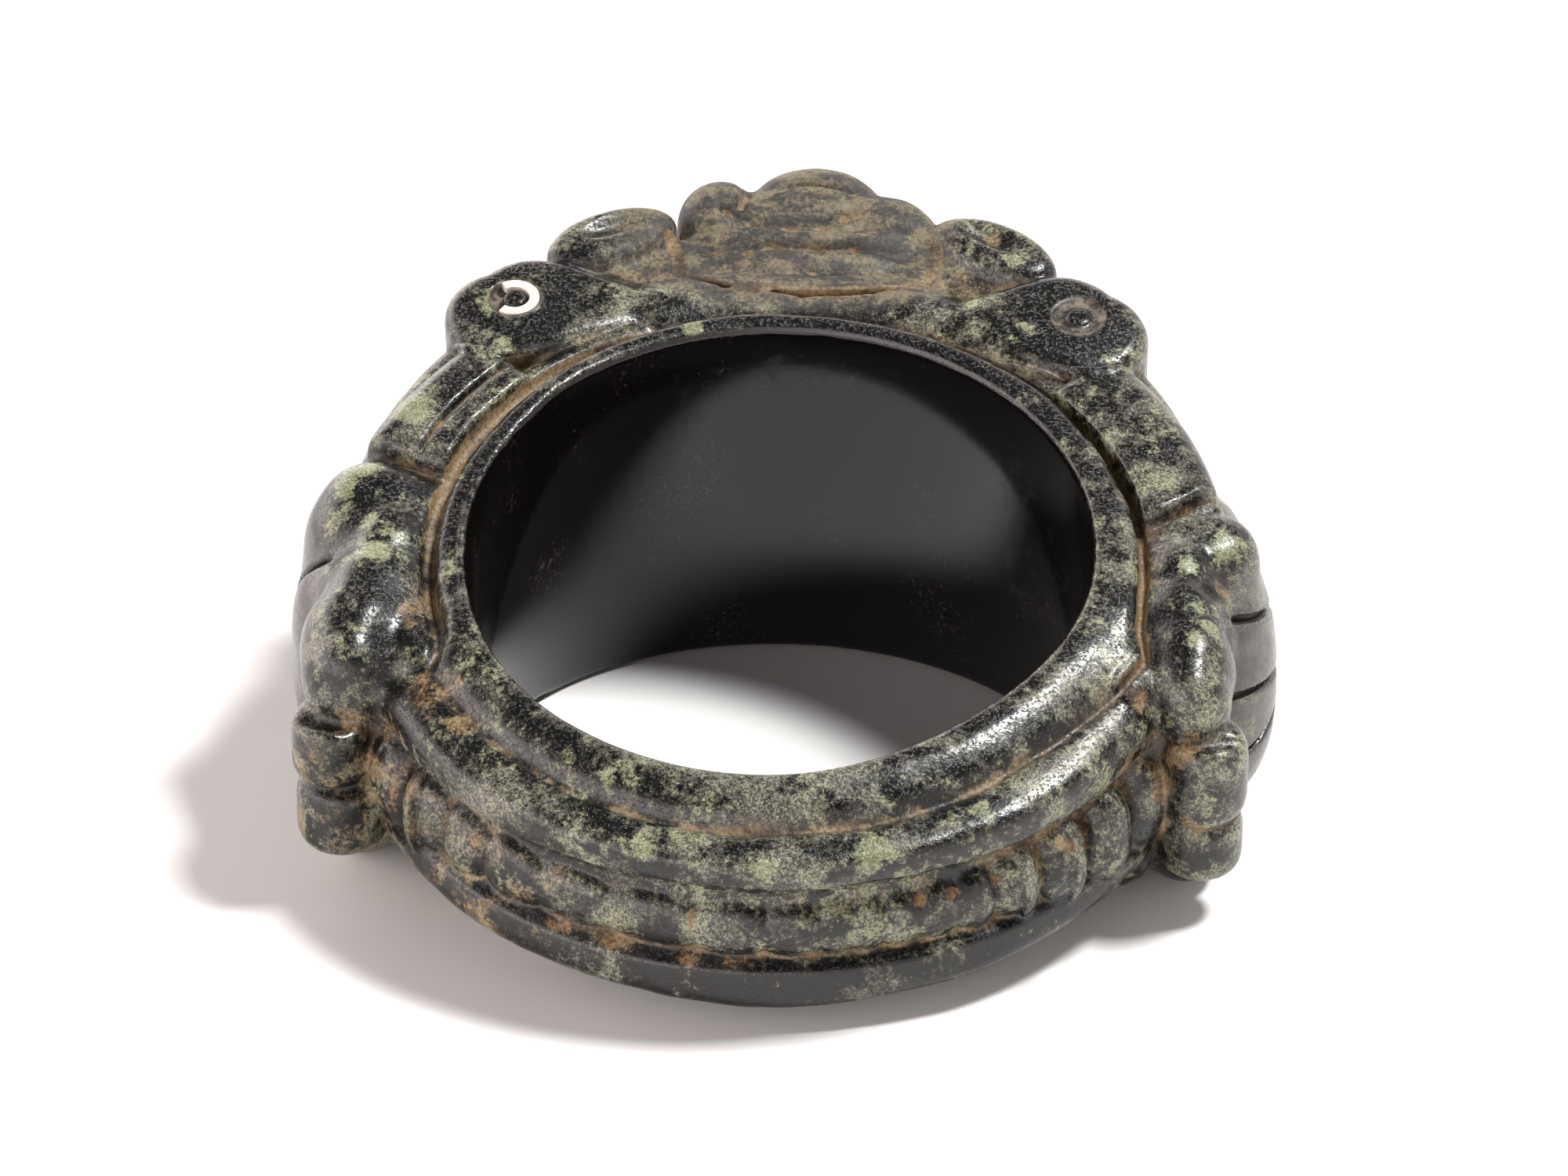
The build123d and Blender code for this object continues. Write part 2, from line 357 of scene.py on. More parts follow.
# Shoulders. A knot is a thick place of a bird's body, and its top lies at that height over the face.
Knot = namedtuple("Knot", "across out top half")
Foot = namedtuple("Foot", "across out height halves")
# A feather line across a wing: its angle at one height, that height, its turn with it, and its half width
Feather = namedtuple("Feather", "angle height turn half_width")
Side = namedtuple("Side", "in_by wing_in notch_angles eye_depth pupil breast body feet feathers")
RIGHT = Side(
    in_by=0.0,
    wing_in=0.0,
    notch_angles=(8.5, 15.2),
    eye_depth=0.16,
    pupil=0.58,
    breast=Knot(13.8, 1.75, -0.2, 1.6),
    body=table(Knot, (
        (12.75, 2.2, -0.3, 1.2), (12.85, 0.4, -0.22, 1.1), (13.05, -1.6, -0.12, 1.25),
        (13.25, -3.1, -0.12, 1.35), (13.35, -4.4, -0.35, 1.3),
    )),
    feet=table(Foot, ((13.85, -4.85, 0.7, (1.35, 1.4, 1.6)), (13.75, -4.75, -1.95, (1.35, 1.4, 1.15)))),
    feathers=table(Feather, ((4.5, 2.5, -7.0, 0.08), (-1.8, 0.95, -15.0, 0.08))),
)
LEFT = Side(
    in_by=0.28,
    wing_in=0.4,
    notch_angles=(16.5, 18.8),
    eye_depth=0.4,
    pupil=0.46,
    breast=Knot(13.1, 2.5, -0.15, 1.75),
    body=table(Knot, (
        (12.25, 2.6, -0.3, 1.2), (12.35, 0.4, -0.2, 1.35), (12.7, -1.6, -0.15, 1.6),
        (13.05, -3.1, -0.1, 1.75), (13.2, -4.3, -0.35, 1.55),
    )),
    feet=table(Foot, ((13.75, -4.85, 0.65, (1.3, 1.4, 1.2)), (13.5, -4.9, -1.8, (1.45, 1.5, 1.35)))),
    feathers=[Feather(3.0, 2.6, -1.5, 0.1)],
)
BODY_TALL = 1.25
BREAST_LONG, BREAST_TALL = 0.95, 1.1
FOOT_HEADING = 8

# Low rolls between the rim and the body, the neck and the head
LowRoll = namedtuple("LowRoll", "set_out half span height blend")
LOW_ROLLS = table(LowRoll, (
    (2.1, 1.0, (-22, 12), -1.55, 0.2), (1.9, 0.9, (12, 40), -1.75, 0.2), (1.8, 0.9, (38, 62), -1.3, 0.3),
))

# Wings, with feather lines cut into their outer walls
WING_SET_OUT = 2.75
WING_HALF = 3.25
WING_TALL = 1.3
WING_POWER = 3.0
WING_SPAN = (3, 20)
WING_WALL = 14.1
WING_MM_A_DEGREE = 0.26
FEATHER_DEPTH = 0.35

# Heads, eyes and buds: how far they lie beyond the hole's wall, at what angle, and their sizes
Round = namedtuple("Round", "set_out angle radius")
HEAD = Round(4.15, 53.0, 2.2)
NAPE = Round(4.4, 49.0, 2.0)
BEAK = Round(2.15, 70.5, 0.36)
Eye = namedtuple("Eye", "set_out angle outer inner")
EYE = Eye(4.55, 51.0, 0.8, 0.42)
Bud = namedtuple("Bud", "set_out angle half_length half_width heading")
BUD = Bud(5.98, 67.0, 2.3, 1.2, -29.0)
BUD_HOLLOW_OUT = 14.95
BUD_HOLLOW_HALVES = (1.3, 0.52, 0.65)
HEAD_SPOT, NAPE_SPOT, BEAK_SPOT, EYE_SPOT, BUD_SPOT = (
    at_angle(BORE + place.set_out, place.angle) for place in (HEAD, NAPE, BEAK, EYE, BUD)
)

# The groove round the nape, and the collar below it: angle round the nape, and height of its middle
NAPE_GROOVE_REACH = 1.76
COLLAR_REACH = 2.08
COLLAR_RADIUS = 0.19
COLLAR = ((-100, -0.2), (-85, -0.2), (-70, -0.24), (-58, -0.34), (-47, -0.55))


def head_outline():
    """Distance in the face's plane to the outline of a bird's head, from its nape to its beak."""
    a, b, back = (np.array(place) for place in (HEAD_SPOT, BEAK_SPOT, NAPE_SPOT))
    run = b - a
    length = math.hypot(*run)
    run = run / length
    slope = (HEAD.radius - BEAK.radius) / length
    lean = math.sqrt(1 - slope * slope)

    def outline(u, v):
        pu, pv = u - a[0], v - a[1]
        along = pu * run[0] + pv * run[1]
        across = np.abs(pv * run[0] - pu * run[1])
        k = lean * along - slope * across
        first = np.hypot(along, across) - HEAD.radius
        last = np.hypot(along - length, across) - BEAK.radius
        flank = across * lean + along * slope - HEAD.radius
        nape = np.hypot(u - back[0], v - back[1]) - NAPE.radius
        return np.minimum(np.where(k < 0, first, np.where(k > lean * length, last, flank)), nape)

    return outline


def almond(centre, half_length, half_width, heading):
    """Distance in the face's plane to the outline of a bud."""
    turn = math.radians(heading)
    c, s = math.cos(turn), math.sin(turn)

    def outline(u, v):
        pu, pv = u - centre[0], v - centre[1]
        along, across = pu * c + pv * s, pv * c - pu * s
        share = np.sqrt((along / half_length) ** 2 + (across / half_width) ** 2)
        slope = np.sqrt((along / half_length**2) ** 2 + (across / half_width**2) ** 2)
        return share * (share - 1) / np.maximum(slope, 1e-3)

    return outline


def band(reach, half_width, span):
    """A stretch of a flat band along an arc round the hole's axis."""
    middle = math.radians((span[0] + span[1]) / 2)
    half = math.radians((span[1] - span[0]) / 2)

    def outline(u, v):
        r = np.hypot(u, v)
        off = np.abs(np.arctan2(v, u) - middle)
        across = np.abs(r - reach) - half_width
        ends = (off - half) * r
        return smooth_most(across, ends, 0.5)

    return outline


def around(*places, room=2.3):
    """Corners of the flat box that holds some places of the face's plane, with room round them."""
    across, out = zip(*places)
    return (min(across) - room, min(out) - room), (max(across) + room, max(out) + room)


def swell(middle, strength):
    """The fall of a form's top away from its middle."""

    def dome(u, v):
        return strength * ((u - middle[0]) ** 2 + (v - middle[1]) ** 2)

    return dome


def neck_swell(u, v):
    """The fall of the neck's top away from its middle line."""
    return 0.04 * (np.hypot(u, v) - 12.3) ** 2


def wing(side):
    """The roll of one wing, through the whole depth of the ring."""
    reach = BORE + WING_SET_OUT - side.wing_in
    return bent_roll(reach, WING_HALF, WING_SPAN, facing=False, flat=WING_TALL, power=WING_POWER)


def off_feather(feather, x, y, z):
    """Distance from the middle of a feather line."""
    turned = bearing(x, y) - feather.angle - feather.turn * (np.abs(z) - feather.height)
    return np.abs(turned) * WING_MM_A_DEGREE / math.hypot(1, feather.turn * WING_MM_A_DEGREE)


def wing_lines(stone, side):
    """The feather lines of one wing."""
    roll = wing(side)
    for feather in side.feathers:

        def line(x, y, z):
            inner = np.maximum(-FEATHER_DEPTH - roll.distance(x, y, z), WING_WALL - np.hypot(x, y))
            return np.maximum(off_feather(feather, x, y, z) - feather.half_width, inner)

        stone.cut(Shape((13, -4.5, -4.2), (16.6, 4.5, 4.2), line), 0.12)


def body_roll(stone, first, second, blend):
    """A stretch of a bird's body between two of its knots."""
    ends = [(knot.across, knot.out, knot.top - BODY_TALL * knot.half) for knot in (first, second)]
    stone.join(straight_roll(*ends, (first.half, second.half), flat=BODY_TALL), blend)


def shoulder(stone, side):
    """Body, neck, head and bud of one face, and the wing of the middle."""
    breast, hole = side.breast, BORE - side.in_by
    stone.join(wing(side), 0.2)
    if side is LEFT:
        stone.join(lobe((12.6, 2.3, 2.9), (2.65, 2.6, 2.4), facing=False, power=2.5), 0.3)
    wing_lines(stone, side)
    stone.join(lobe((11.7, -4.0, 0.9), (1.5, 1.3, 2.2), facing=False, power=2.6), 0.3)
    for low_roll in LOW_ROLLS:
        reach = hole + low_roll.set_out
        stone.join(bent_roll(reach, low_roll.half, low_roll.span, low_roll.height), low_roll.blend)
    middle = (breast.across, breast.out, breast.top - BREAST_TALL * breast.half)
    halves = (breast.half, BREAST_LONG * breast.half, BREAST_TALL * breast.half)
    stone.join(lobe(middle, halves, power=2.5), 0.2)
    for first, second in zip(side.body[:-1], side.body[1:-1]):
        body_roll(stone, first, second, 0.2 if first is side.body[0] else 0.6)
    neck = band(hole + 2.75, 1.75, (side.notch_angles[0] + 1.5, 44.0))
    stone.join(lifted(neck, ((6.0, 1.0), (14.8, 12.0)), -0.08, 4.0, 0.7, neck_swell), 0.12)
    head_box, bud_box = around(HEAD_SPOT, BEAK_SPOT), around(BUD_SPOT)
    stone.join(lifted(head_outline(), head_box, 0.0, 2.6, 0.5, swell(HEAD_SPOT, 0.03)), 0.1)
    bud = almond(BUD_SPOT, BUD.half_length, BUD.half_width, BUD.heading)
    stone.join(lifted(bud, bud_box, 0.0, 2.4, 0.5, swell(BUD_SPOT, 0.05)), 0.12)


def drilled_ring(side):
    """The ring drilled round a pupil."""
    ring_reach, ring_half = (EYE.outer + EYE.inner) / 2, (EYE.outer - EYE.inner) / 2

    def distance(u, v, w):
        gap = np.abs(np.hypot(u - EYE_SPOT[0], v - EYE_SPOT[1]) - ring_reach) - ring_half
        return np.maximum(gap, -(w + side.eye_depth))

    return shape_round([(*EYE_SPOT, 0)], 1.4, distance)


def shoulder_cuts(stone, side):
    """The groove and the collar below a head, its eye, the bud's hollow, and the notch across the neck."""
    stone.cut(bent_roll(NAPE_GROOVE_REACH, 0.12, (-100, -20), 0.06, centre=NAPE_SPOT), 0.12)
    collar = [(*at_angle(COLLAR_REACH, angle, NAPE_SPOT), height) for angle, height in COLLAR]
    for first, second in zip(collar, collar[1:]):
        stone.join(straight_roll(first, second, [COLLAR_RADIUS] * 2), 0.15)
    stone.cut(drilled_ring(side), 0.1)
    stone.cut(lobe((BUD_SPOT[0], BUD_HOLLOW_OUT, 0.3), BUD_HOLLOW_HALVES, BUD.heading), 0.22)
    hole = BORE - side.in_by
    inner_end, outer_end = (at_angle(hole + n, angle) for n, angle in zip((1.7, 4.8), side.notch_angles))
    stone.cut(straight_roll((*inner_end, -0.3), (*outer_end, -0.45), (0.13, 0.2), flat=2.6), 0.25)
    if side is LEFT:
        stone.cut(bent_roll(12.3, 0.14, (13, 44), -0.18, flat=1.8), 0.12)


def feet(stone, side):
    """The foot lobes of one shoulder, the lobe behind them, and the crease over the upper one."""
    for foot in side.feet:
        middle = (foot.across, foot.out, foot.height)
        stone.join(lobe(middle, foot.halves, FOOT_HEADING, facing=False, power=4.4), 0.14)
    joint, joint_halves = (13.4, -4.4, -0.5), (1.2, 1.4, 2.6)
    stone.join(lobe(joint, joint_halves, FOOT_HEADING, facing=False, power=4.0), 0.14)
    crease = side.feet[0].height + 0.97 * side.feet[0].halves[2]
    ends = (12.0, -6.1, crease + 0.15), (15.0, -5.2, crease)
    stone.cut(straight_roll(*ends, (0.24, 0.24), facing=False), 0.25)


# Crown: the block and the lobes of its boss
BossLobe = namedtuple("BossLobe", "across out top halves heading power blend")
BOSS = table(BossLobe, (
    (0.1, 15.2, -0.22, (4.05, 2.85, 2.0), 0.0, 3.4, 0.1),
    (-2.75, 16.5, -0.05, (1.5, 1.5, 1.7), 0.0, 2.6, 0.3),
    (0.35, 17.05, 0.0, (2.35, 1.8, 1.8), -6.0, 2.6, 0.3),
    (2.8, 16.1, -0.1, (1.85, 1.35, 1.7), -27.0, 2.6, 0.3),
))

# Lines cut across the boss and round its foot: half width, height over the face, and places in its plane
BOSS_FOOT = ((-4.3, 14.9), (-3.9, 13.2), (-2.4, 12.4), (0.1, 12.2), (2.4, 12.4), (4.1, 13.2), (4.4, 14.6))
Line = namedtuple("Line", "radius height places")
BOSS_BROW = ((-3.7, 14.9), (-2.9, 14.45), (-1.8, 14.35), (-0.9, 14.6), (0.5, 14.5), (1.7, 14.6), (3.6, 14.4))
BOSS_LINES = table(Line, (
    (0.17, -0.25, BOSS_BROW),
    (0.15, -0.13, ((-2.6, 16.1), (-1.75, 15.65), (-0.5, 15.45), (0.6, 15.5), (1.3, 15.9), (2.2, 16.1))),
    (0.1, -0.43, BOSS_FOOT),
    (0.11, -0.1, ((-0.9, 17.2), (0.2, 17.3), (1.5, 17.0))),
    (0.1, -0.12, ((0.9, 15.2), (2.4, 15.4), (3.6, 15.2))),
    (0.1, -0.25, ((-3.0, 13.5), (-1.2, 13.3), (0.4, 13.35), (2.2, 13.6))),
    (0.16, -0.15, ((-2.15, 17.9), (-1.95, 17.1), (-2.1, 16.4))),
))


def crown(stone):
    """The swell behind the crown, its low sill, and the boss."""
    stone.join(bent_roll(BORE + 3.3, 4.3, (72, 108), facing=False), 0.3)
    stone.join(lifted(band(13.5, 2.3, (50, 130)), ((-9.5, 7.0), (9.5, 16.0)), -0.62, 3.0, 0.5), 0.3)
    stone.join(bent_roll(BORE + 2.45, 1.3, (70, 110), -1.15, flat=0.72), 0.4)
    for part in BOSS:
        middle = (part.across, part.out, part.top - part.halves[2])
        stone.join(lobe(middle, part.halves, part.heading, power=part.power), part.blend)


def crown_cuts(stone):
    """The lines across the boss and the groove round its foot."""
    for line in BOSS_LINES:
        for a, b in zip(line.places, line.places[1:]):
            groove = straight_roll((*a, line.height), (*b, line.height), [line.radius] * 2, flat=2.0)
            stone.cut(groove, 1.6 * line.radius)


def slab(half_across, half_out, middle_out):
    """Plain stone under a face, rounded at its edge."""

    def distance(x, y, z):
        w = on_face(x, y, z)[2]
        share = np.sqrt((x / half_across) ** 2 + ((y - middle_out) / half_out) ** 2)
        side = (share - 1) * min(half_across, half_out) + 0.0 * z
        return smooth_most(side, w + 1.15, 0.9)

    low = (-half_across, middle_out - half_out, -9)
    high = (half_across, middle_out + half_out, 9)
    return Shape(low, high, distance)


def rim_sizes(x, y):
    """The rim's outer radius, its groove's width and the groove's depth, at some places."""
    angles, *sizes = np.array(RIM, float).T
    return [np.interp(bearing(x, y), angles, size).astype(np.float32) for size in sizes]


# Radius of the band's rounded outer edge
RIM_EDGE = 0.4


def rim_band(stone):
    """The band round the hole: narrow and rounded at the crown, broad and sloping at the shank."""

    def distance(x, y, z):
        w = on_face(x, y, z)[2]
        r = np.hypot(x, y) + 0.0 * z
        shank = np.clip((-y - 2.0) / 4.0, 0, 1)
        side = r - rim_sizes(x, y)[0] + RIM_EDGE
        slope = 0.12 * np.clip(r - 10.5, 0, 2) ** 2 + shank * 0.42 * np.clip(r - 10.35, 0, 2) ** 1.4
        panel = np.clip(1.2 - np.abs(bearing(-x, y) - 12) / 26, 0, 0.25) * 4
        panel = panel * np.clip((r - 10.0) / 0.15, 0, 1)
        rise = w + 0.03 + RIM_EDGE + slope + 0.16 * panel
        inner = np.minimum(np.maximum(side, rise), 0)
        over = np.sqrt(np.maximum(side, 0) ** 2 + np.maximum(rise, 0) ** 2)
        return np.maximum(inner + over - RIM_EDGE, -1.9 - w)

    stone.join(Shape((-12.8, -12.8, 1), (12.8, 12.8, 9), distance), 0.12)


def rim_groove(stone):
    """The groove outside the rim band: deep and broad beside the necks, a narrow cut along the shank."""

    def distance(x, y, z):
        w = on_face(x, y, z)[2]
        r = np.hypot(x, y) + 0.0 * z
        outer, width, depth = rim_sizes(x, y)
        side = np.abs(r - outer - width / 2) - width / 2
        return smooth_most(side, -(w + depth), 0.25)

    stone.cut(Shape((-13.8, -13.8, 1), (13.8, 13.8, 9), distance), 0.1)


# How much narrower the hole is half way through, how much wider than there it is near the faces, and the
# depth of its flats at the left and at the lower right, with the degrees that each runs to either side
HOLE_WAIST, HOLE_FLARE = 0.14, 0.2
LEFT_FLAT, LEFT_FLAT_TURN = 0.25, 50
RIGHT_FLAT, RIGHT_FLAT_TURN, RIGHT_FLAT_ANGLE = 0.36, 45, -47


def hole_reach(x, y, z):
    """Radius of the polished hole."""
    left = np.clip(1 - np.abs(bearing(-x, y)) / LEFT_FLAT_TURN, 0, 1)
    right = np.clip(1 - np.abs(bearing(x, y) - RIGHT_FLAT_ANGLE) / RIGHT_FLAT_TURN, 0, 1)
    right = right * np.clip(z / 4, 0, 1)
    flat = LEFT_FLAT * left * left * (3 - 2 * left) + RIGHT_FLAT * right * right * (3 - 2 * right)
    return BORE - HOLE_WAIST + HOLE_FLARE * (np.abs(z) / 5) ** 2.5 - flat


# Unevenness of hand work: its height, the size of its lumps and its seed
WEAR = ((0.055, 2.6, 11), (0.032, 1.1, 12), (0.018, 0.5, 13))


def carve():
    """The whole stone as distances on a grid."""
    ends = zip((*GRID_LOW, GRID_STEP / 2), (*GRID_HIGH, GRID_TOP))
    axes = [np.arange(lo, hi, GRID_STEP, dtype=np.float32) for lo, hi in ends]
    stone = Stone(axes, np.full([len(a) for a in axes], FAR, np.float32))
    stone.join(slab(12.4, 12.4, 0.0), 0.05)
    stone.join(slab(13.9, 13.9, 2.5), 0.3)
    shoulder(stone, RIGHT)
    shoulder(stone.flipped(), LEFT)
    crown(stone)
    shoulder_cuts(stone, RIGHT)
    shoulder_cuts(stone.flipped(), LEFT)
    crown_cuts(stone)
    stone = stone.mirrored()
    for ridge in RIDGES:
        stone.join(shank_ridge(*ridge), 0.16)
    for low_side in (False, True):
        half = stone.half(low_side)
        for side, grid in ((RIGHT, half), (LEFT, half.flipped())):
            first, last = side.body[-2:]
            body_roll(grid, first, last._replace(out=last.out + 0.75) if low_side else last, 0.5)
        rim_band(half)
        rim_groove(half)
    stone.join(bead_row(), 0.1)
    feet(stone, RIGHT)
    feet(stone.flipped(), LEFT)
    x, y, z = np.ix_(*stone.axes)
    r = np.hypot(x, y)
    hand = np.clip((r - BORE) / 0.8, 0.1, 1)
    for height, size, seed in WEAR:
        stone.values += hand * height * noise(stone.axes, size, seed)
    stone.values = smooth_most(stone.values, over_faces(y, z), 0.1)
    stone.values = smooth_most(stone.values, hole_reach(x, y, z) - r, 0.3)
    return stone


# The corners of one cell of the grid
CUBE = [(i, j, k) for i in (0, 1) for j in (0, 1) for k in (0, 1)]


def mesh_of(stone):
    """Corners and four-sided faces of the surface where the distance is 0."""
    v = stone.values
    inside = v < 0
    count = np.zeros([n - 1 for n in v.shape], np.uint8)
    for i, j, k in CUBE:
        count += inside[i : v.shape[0] - 1 + i, j : v.shape[1] - 1 + j, k : v.shape[2] - 1 + k]
    cells = np.argwhere((count > 0) & (count < 8))
    number = np.full(count.shape, -1, np.int32)
    number[tuple(cells.T)] = np.arange(len(cells))
    held = {c: v[cells[:, 0] + c[0], cells[:, 1] + c[1], cells[:, 2] + c[2]] for c in CUBE}
    total = np.zeros((len(cells), 3))
    hits = np.zeros(len(cells))
    for a in CUBE:
        for axis in range(3):
            if a[axis]:
                continue
            b = tuple(1 if n == axis else a[n] for n in range(3))
            crosses = (held[a] < 0) != (held[b] < 0)
            share = np.where(crosses, held[a] / np.where(crosses, held[a] - held[b], 1), 0)
            place = np.tile(np.array(a, float), (len(cells), 1))
            place[:, axis] = share
            total += place * crosses[:, None]
            hits += crosses
    spots = cells + total / hits[:, None]
    faces = []
    for axis in range(3):
        others = [n for n in range(3) if n != axis]
        first = tuple(slice(0, n - 1) if i == axis else slice(1, n - 1) for i, n in enumerate(v.shape))
        second = tuple(slice(1, n) if i == axis else slice(1, n - 1) for i, n in enumerate(v.shape))
        at = np.argwhere(inside[first] != inside[second])
        goes_in = inside[first][tuple(at.T)]
        for n in others:
            at[:, n] += 1
        ring = []
        for da, db in ((0, 0), (1, 0), (1, 1), (0, 1)):
            cell = at.copy()
            cell[:, others[0]] -= da
            cell[:, others[1]] -= db
            ring.append(number[tuple(cell.T)])
        quad = np.stack(ring, 1)
        turned = goes_in if axis != 1 else ~goes_in
        quad[~turned] = quad[~turned][:, ::-1]
        faces.append(quad)
    return stone.origin() + spots * GRID_STEP, np.concatenate(faces)


def sample(stone, values, points):
    """Values of a grid at points, in millimetres in the ring's frame."""
    spots = (points - stone.origin()) / GRID_STEP
    top = np.array(values.shape) - 2
    first = np.clip(np.floor(spots).astype(int), 0, top)
    t = np.clip(spots - first, 0, 1)
    found = np.zeros(len(points))
    for i, j, k in CUBE:
        share = (t[:, 0] if i else 1 - t[:, 0]) * (t[:, 1] if j else 1 - t[:, 1])
        share = share * (t[:, 2] if k else 1 - t[:, 2])
        found += share * values[first[:, 0] + i, first[:, 1] + j, first[:, 2] + k]
    return found


def gradient(stone, points):
    """How the distance grows along each axis."""
    reach = GRID_STEP * 0.75
    parts = []
    for axis in range(3):
        step = np.zeros(3)
        step[axis] = reach
        parts.append(sample(stone, stone.values, points + step) - sample(stone, stone.values, points - step))
    return np.stack(parts, 1) / (2 * reach)


def settle(stone, points):
    """Points moved onto the surface."""
    for _ in range(2):
        lean = gradient(stone, points)
        strength = np.maximum((lean**2).sum(1), 0.05)
        move = sample(stone, stone.values, points)[:, None] * lean / strength[:, None]
        points = points - np.clip(move, -0.4 * GRID_STEP, 0.4 * GRID_STEP)
    return points


def blurred(values, width):
    """A grid averaged three times over boxes of that many points."""
    for _ in range(3):
        for axis in range(3):
            total = np.cumsum(values, axis=axis, dtype=np.float64)
            pad = [(0, 0)] * 3
            pad[axis] = (width + 1, 0)
            low = np.pad(total, pad)
            low = np.take(low, range(total.shape[axis]), axis=axis)
            values = ((total - low) / (width + 1)).astype(np.float32)
            values = np.roll(values, -(width // 2), axis=axis)
    return values


# Yellow-green patches: place in the ring's frame and radius, in millimetres
Spot = namedtuple("Spot", "x y z size")
PATCHES = table(Spot, (
    (14.4, 1.1, 5.3, 0.85), (13.1, 0.0, 5.2, 0.45), (-13.6, 3.2, 5.6, 0.8), (-13.9, 2.3, 5.2, 0.6),
    (-13.0, 0.6, 5.3, 0.45), (-12.8, -0.7, 5.1, 0.55), (-3.3, 10.2, 6.4, 0.45), (-9.9, 11.0, 6.5, 0.6),
    (-9.4, 9.0, 6.3, 0.5), (-12.1, 5.9, 5.8, 0.75), (7.3, 10.4, 6.5, 0.6), (5.6, 11.9, 6.4, 0.4),
    (0.4, -13.0, 2.6, 0.45), (-3.4, -12.4, 2.8, 0.5), (3.8, -12.3, 2.9, 0.7), (7.0, -10.4, 3.4, 0.6),
    (-11.5, -6.9, 4.3, 0.5), (-10.1, -7.9, 4.2, 0.6), (-8.6, -9.2, 3.9, 0.6), (-8.2, -5.4, 4.5, 0.45),
    (-9.0, -10.2, -2.6, 0.7), (-7.9, -11.0, -2.9, 0.6), (14.5, -5.0, 1.3, 0.7), (14.6, -1.6, 4.6, 0.6),
    (13.9, -2.6, 4.9, 0.5), (-2.1, 14.0, 7.0, 0.4), (-0.6, 13.7, 7.0, 0.45), (-2.9, 12.7, 6.8, 0.35),
    (0.6, 15.5, 7.1, 0.4), (-0.9, 11.6, 6.6, 0.45), (1.3, 11.5, 6.6, 0.35), (6.9, 13.9, 6.9, 0.35),
))

# Earth: pale where it fills broad hollows, and rusty streaks in the notches of the beads and under them,
# by their angle round the beads' axis and their height
PALE_EARTH = table(Spot, (
    (-10.6, -6.2, 4.1, 1.1), (-9.5, -7.4, 3.9, 0.8), (-11.4, -3.0, 4.4, 0.7), (12.6, -4.5, 2.0, 0.9),
    (13.3, -4.2, 1.4, 0.8), (11.7, -5.0, 3.4, 0.7), (12.4, -5.3, 0.9, 0.8), (12.6, -5.7, 1.7, 0.8),
    (11.5, -6.4, 1.9, 0.6), (13.4, -5.6, 2.15, 0.6), (12.7, -5.9, 2.3, 0.7), (13.5, -6.1, -0.6, 0.5),
    (-12.0, -6.0, 1.9, 0.9), (-12.3, -5.6, 0.4, 0.9), (-13.2, -5.6, 1.9, 0.7), (-11.2, -7.6, 1.1, 0.8),
    (-10.0, -9.0, 0.5, 0.7), (-8.3, -10.2, 0.9, 0.5), (-12.9, -4.6, 3.0, 0.6), (-6.0, -9.9, 3.75, 0.5),
    (6.3, 14.9, 6.6, 0.55), (4.6, 13.2, 5.3, 0.9), (6.6, 13.3, 5.4, 0.7), (-4.6, 13.4, 5.4, 0.9),
    (-6.8, 13.2, 5.2, 0.7), (4.3, 15.0, 5.5, 0.6), (-4.3, 15.2, 5.6, 0.6),
))
Streak = namedtuple("Streak", "angle z half_turn half_width")
RUST = table(Streak, (
    (-30.5, 0.3, 0.7, 0.9), (-40.0, 0.3, 0.7, 0.7), (-45.0, 0.75, 1.6, 0.25), (-48.5, 0.4, 0.8, 0.5),
    (-55.5, 0.4, 0.9, 0.4), (-62.0, 0.45, 1.2, 0.25), (-67.0, 0.45, 1.2, 0.25), (-78.0, 0.45, 1.0, 0.2),
    (-98.0, 0.3, 0.5, 0.5), (-100.5, 0.75, 1.4, 0.15), (-132.0, 0.4, 1.1, 0.35), (-149.0, 0.0, 0.6, 0.9),
    (-93.0, -1.3, 2.2, 0.14), (-98.0, -1.4, 1.6, 0.14), (-107.0, -1.35, 3.0, 0.12),
    (-118.0, -1.35, 4.0, 0.1),
))


def placed(name, data):
    """A new object of the scene."""
    made = bpy.data.objects.new(name, data)
    bpy.context.scene.collection.objects.link(made)
    return made


def to_mesh(name, points, faces):
    """A smooth mesh piece, in metres and at rest, from places in the ring's frame."""
    turn = np.array(REST.to_3x3())
    mesh = bpy.data.meshes.new(name)
    mesh.vertices.add(len(points))
    mesh.vertices.foreach_set("co", (points @ turn.T * MM).astype(np.float32).ravel())
    mesh.loops.add(faces.size)
    mesh.loops.foreach_set("vertex_index", faces.ravel().astype(np.int32))
    mesh.polygons.add(len(faces))
    mesh.polygons.foreach_set("loop_start", np.arange(0, faces.size, faces.shape[1], dtype=np.int32))
    mesh.update(calc_edges=True)
    mesh.validate()
    mesh.shade_smooth()
    return placed(name, mesh)


def thinned(piece, most):
    """The piece's mesh in fewer triangles, closest where it curves least."""
    triangles = sum(len(p.vertices) - 2 for p in piece.data.polygons)
    if triangles <= most:
        return
    modifier = piece.modifiers.new("thin", "DECIMATE")
    modifier.ratio = most / triangles
    graph = bpy.context.evaluated_depsgraph_get()
    made = bpy.data.meshes.new_from_object(piece.evaluated_get(graph))
    piece.modifiers.clear()
    piece.data = made
    made.shade_smooth()


def ring_points(piece):
    """The piece's corners in millimetres in the ring's frame."""
    co = np.empty(len(piece.data.vertices) * 3, np.float32)
    piece.data.vertices.foreach_get("co", co)
    return co.reshape(-1, 3).astype(float) / MM @ np.array(REST.to_3x3())


stone = carve()
corners, quads = mesh_of(stone)
ring = to_mesh("ring_stone", settle(stone, corners), quads)
thinned(ring, MOST_TRIANGLES)

